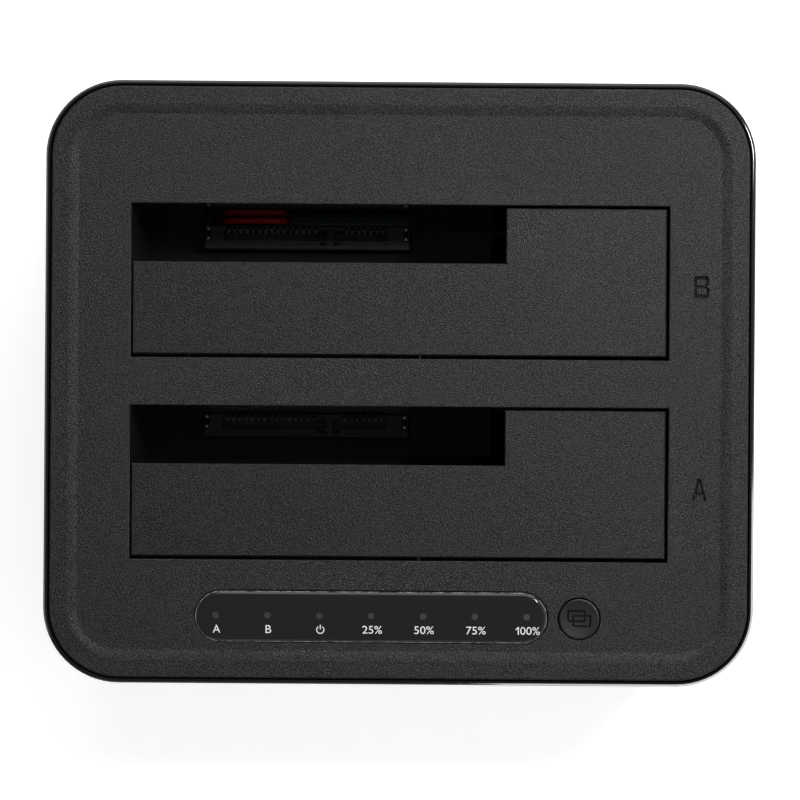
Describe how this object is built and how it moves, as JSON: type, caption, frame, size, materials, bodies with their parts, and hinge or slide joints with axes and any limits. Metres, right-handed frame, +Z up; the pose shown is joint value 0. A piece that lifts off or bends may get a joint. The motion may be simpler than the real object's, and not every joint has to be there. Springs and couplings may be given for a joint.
{
  "type": "drive duplicator",
  "caption": "Desk dock that copies hard drives: sprung flaps over upright drive bays, indicator window, round copy button, rear ports and feet.",
  "frame": {"origin": "on the table under the middle of the housing", "axes": "+X to the right along the bays, +Y to the rear with the ports, +Z up"},
  "size_m": [0.1352, 0.115, 0.062],
  "materials": {
    "base_plastic": "fine spark texture",
    "button_plastic": "fine texture",
    "capacitor_can": "drawn can",
    "chip_resin": "moulded resin",
    "circuit_board": "green solder mask, satin",
    "clear_plastic": "frosted ends",
    "contact_gold": "gold flash",
    "ferrite": "sintered",
    "flap_plastic": "fine texture",
    "foot_rubber": "matt",
    "gloss_plastic": "high gloss",
    "header_plastic": "natural nylon",
    "jack_plastic": "satin",
    "lamp_resin": "clear resin",
    "lead_insulation": "satin red",
    "lens_plastic": "high gloss smoked",
    "plated_can": "nickel plated",
    "plated_pin": "tin plated",
    "port_plastic": "satin blue",
    "ribbon_plastic": "ribbed grey",
    "screw_steel": "zinc plated",
    "socket_plastic": "glass-filled",
    "spring_steel": "bright",
    "switch_plastic": "satin",
    "textured_plastic": "fine leather-like moulded grain",
    "well_plastic": "gloss"
  },
  "bodies": {
    "casing": {"base_cover": "base_plastic", "board_screws": "screw_steel", "bridge_chip": "chip_resin", "cable_headers": "header_plastic", "case_screws": "screw_steel", "clock_crystal": "plated_can", "clone_switch": "switch_plastic", "cover_screws": "screw_steel", "dc_jack_body": "jack_plastic", "dc_jack_pin": "plated_pin", "door_pin_a": "spring_steel", "door_pin_b": "spring_steel", "door_spring_a": "spring_steel", "door_spring_b": "spring_steel", "drive_well_a": "well_plastic", "drive_well_b": "well_plastic", "filter_capacitors": "capacitor_can", "housing": "gloss_plastic", "indicator_board": "circuit_board", "indicator_board_screws": "screw_steel", "indicator_cable": "ribbon_plastic", "indicator_lamps": "lamp_resin", "indicator_lens": "lens_plastic", "light_pipes": "clear_plastic", "main_board": "circuit_board", "power_inductors": "ferrite", "power_leads": "lead_insulation", "power_switch_body": "switch_plastic", "power_switch_terminals": "plated_pin", "regulator_chips": "chip_resin", "rubber_feet": "foot_rubber", "sata_contacts_a": "contact_gold", "sata_contacts_b": "contact_gold", "sata_socket_a": "socket_plastic", "sata_socket_b": "socket_plastic", "socket_locks": "spring_steel", "top_cover": "textured_plastic", "usb_core": "port_plastic", "usb_shell": "plated_can", "well_screws": "screw_steel"},
    "flap_a": {"bay_door_a": "flap_plastic"},
    "flap_b": {"bay_door_b": "flap_plastic"},
    "clone_button": {"clone_button": "button_plastic", "clone_switch_plunger": "switch_plastic"},
    "power_rocker": {"power_rocker": "switch_plastic"}
  },
  "joints": [
    {"name": "flap_a_hinge", "type": "hinge", "parent": "casing", "child": "flap_a", "pos_m": [0, -0.03525, 0.0569], "axis": [-1, 0, 0], "range_deg": [0, 90], "stiffness_Nm_per_rad": 0.0022, "springref_deg": -64.74, "deforming": ["door_spring_a"]},
    {"name": "flap_b_hinge", "type": "hinge", "parent": "casing", "child": "flap_b", "pos_m": [0, 0.00325, 0.0569], "axis": [-1, 0, 0], "range_deg": [0, 90], "stiffness_Nm_per_rad": 0.0022, "springref_deg": -64.74, "deforming": ["door_spring_b"]},
    {"name": "clone_button_press", "type": "slide", "parent": "casing", "child": "clone_button", "axis": [0, 0, -1], "range_m": [0, 0.0004], "stiffness_N_per_m": 1000, "springref_m": -0.0006},
    {"name": "power_rocker_rock", "type": "hinge", "parent": "casing", "child": "power_rocker", "pos_m": [-0.036, 0.05278, 0.021], "axis": [0, 0, 1], "range_deg": [0, 18]}
  ]
}
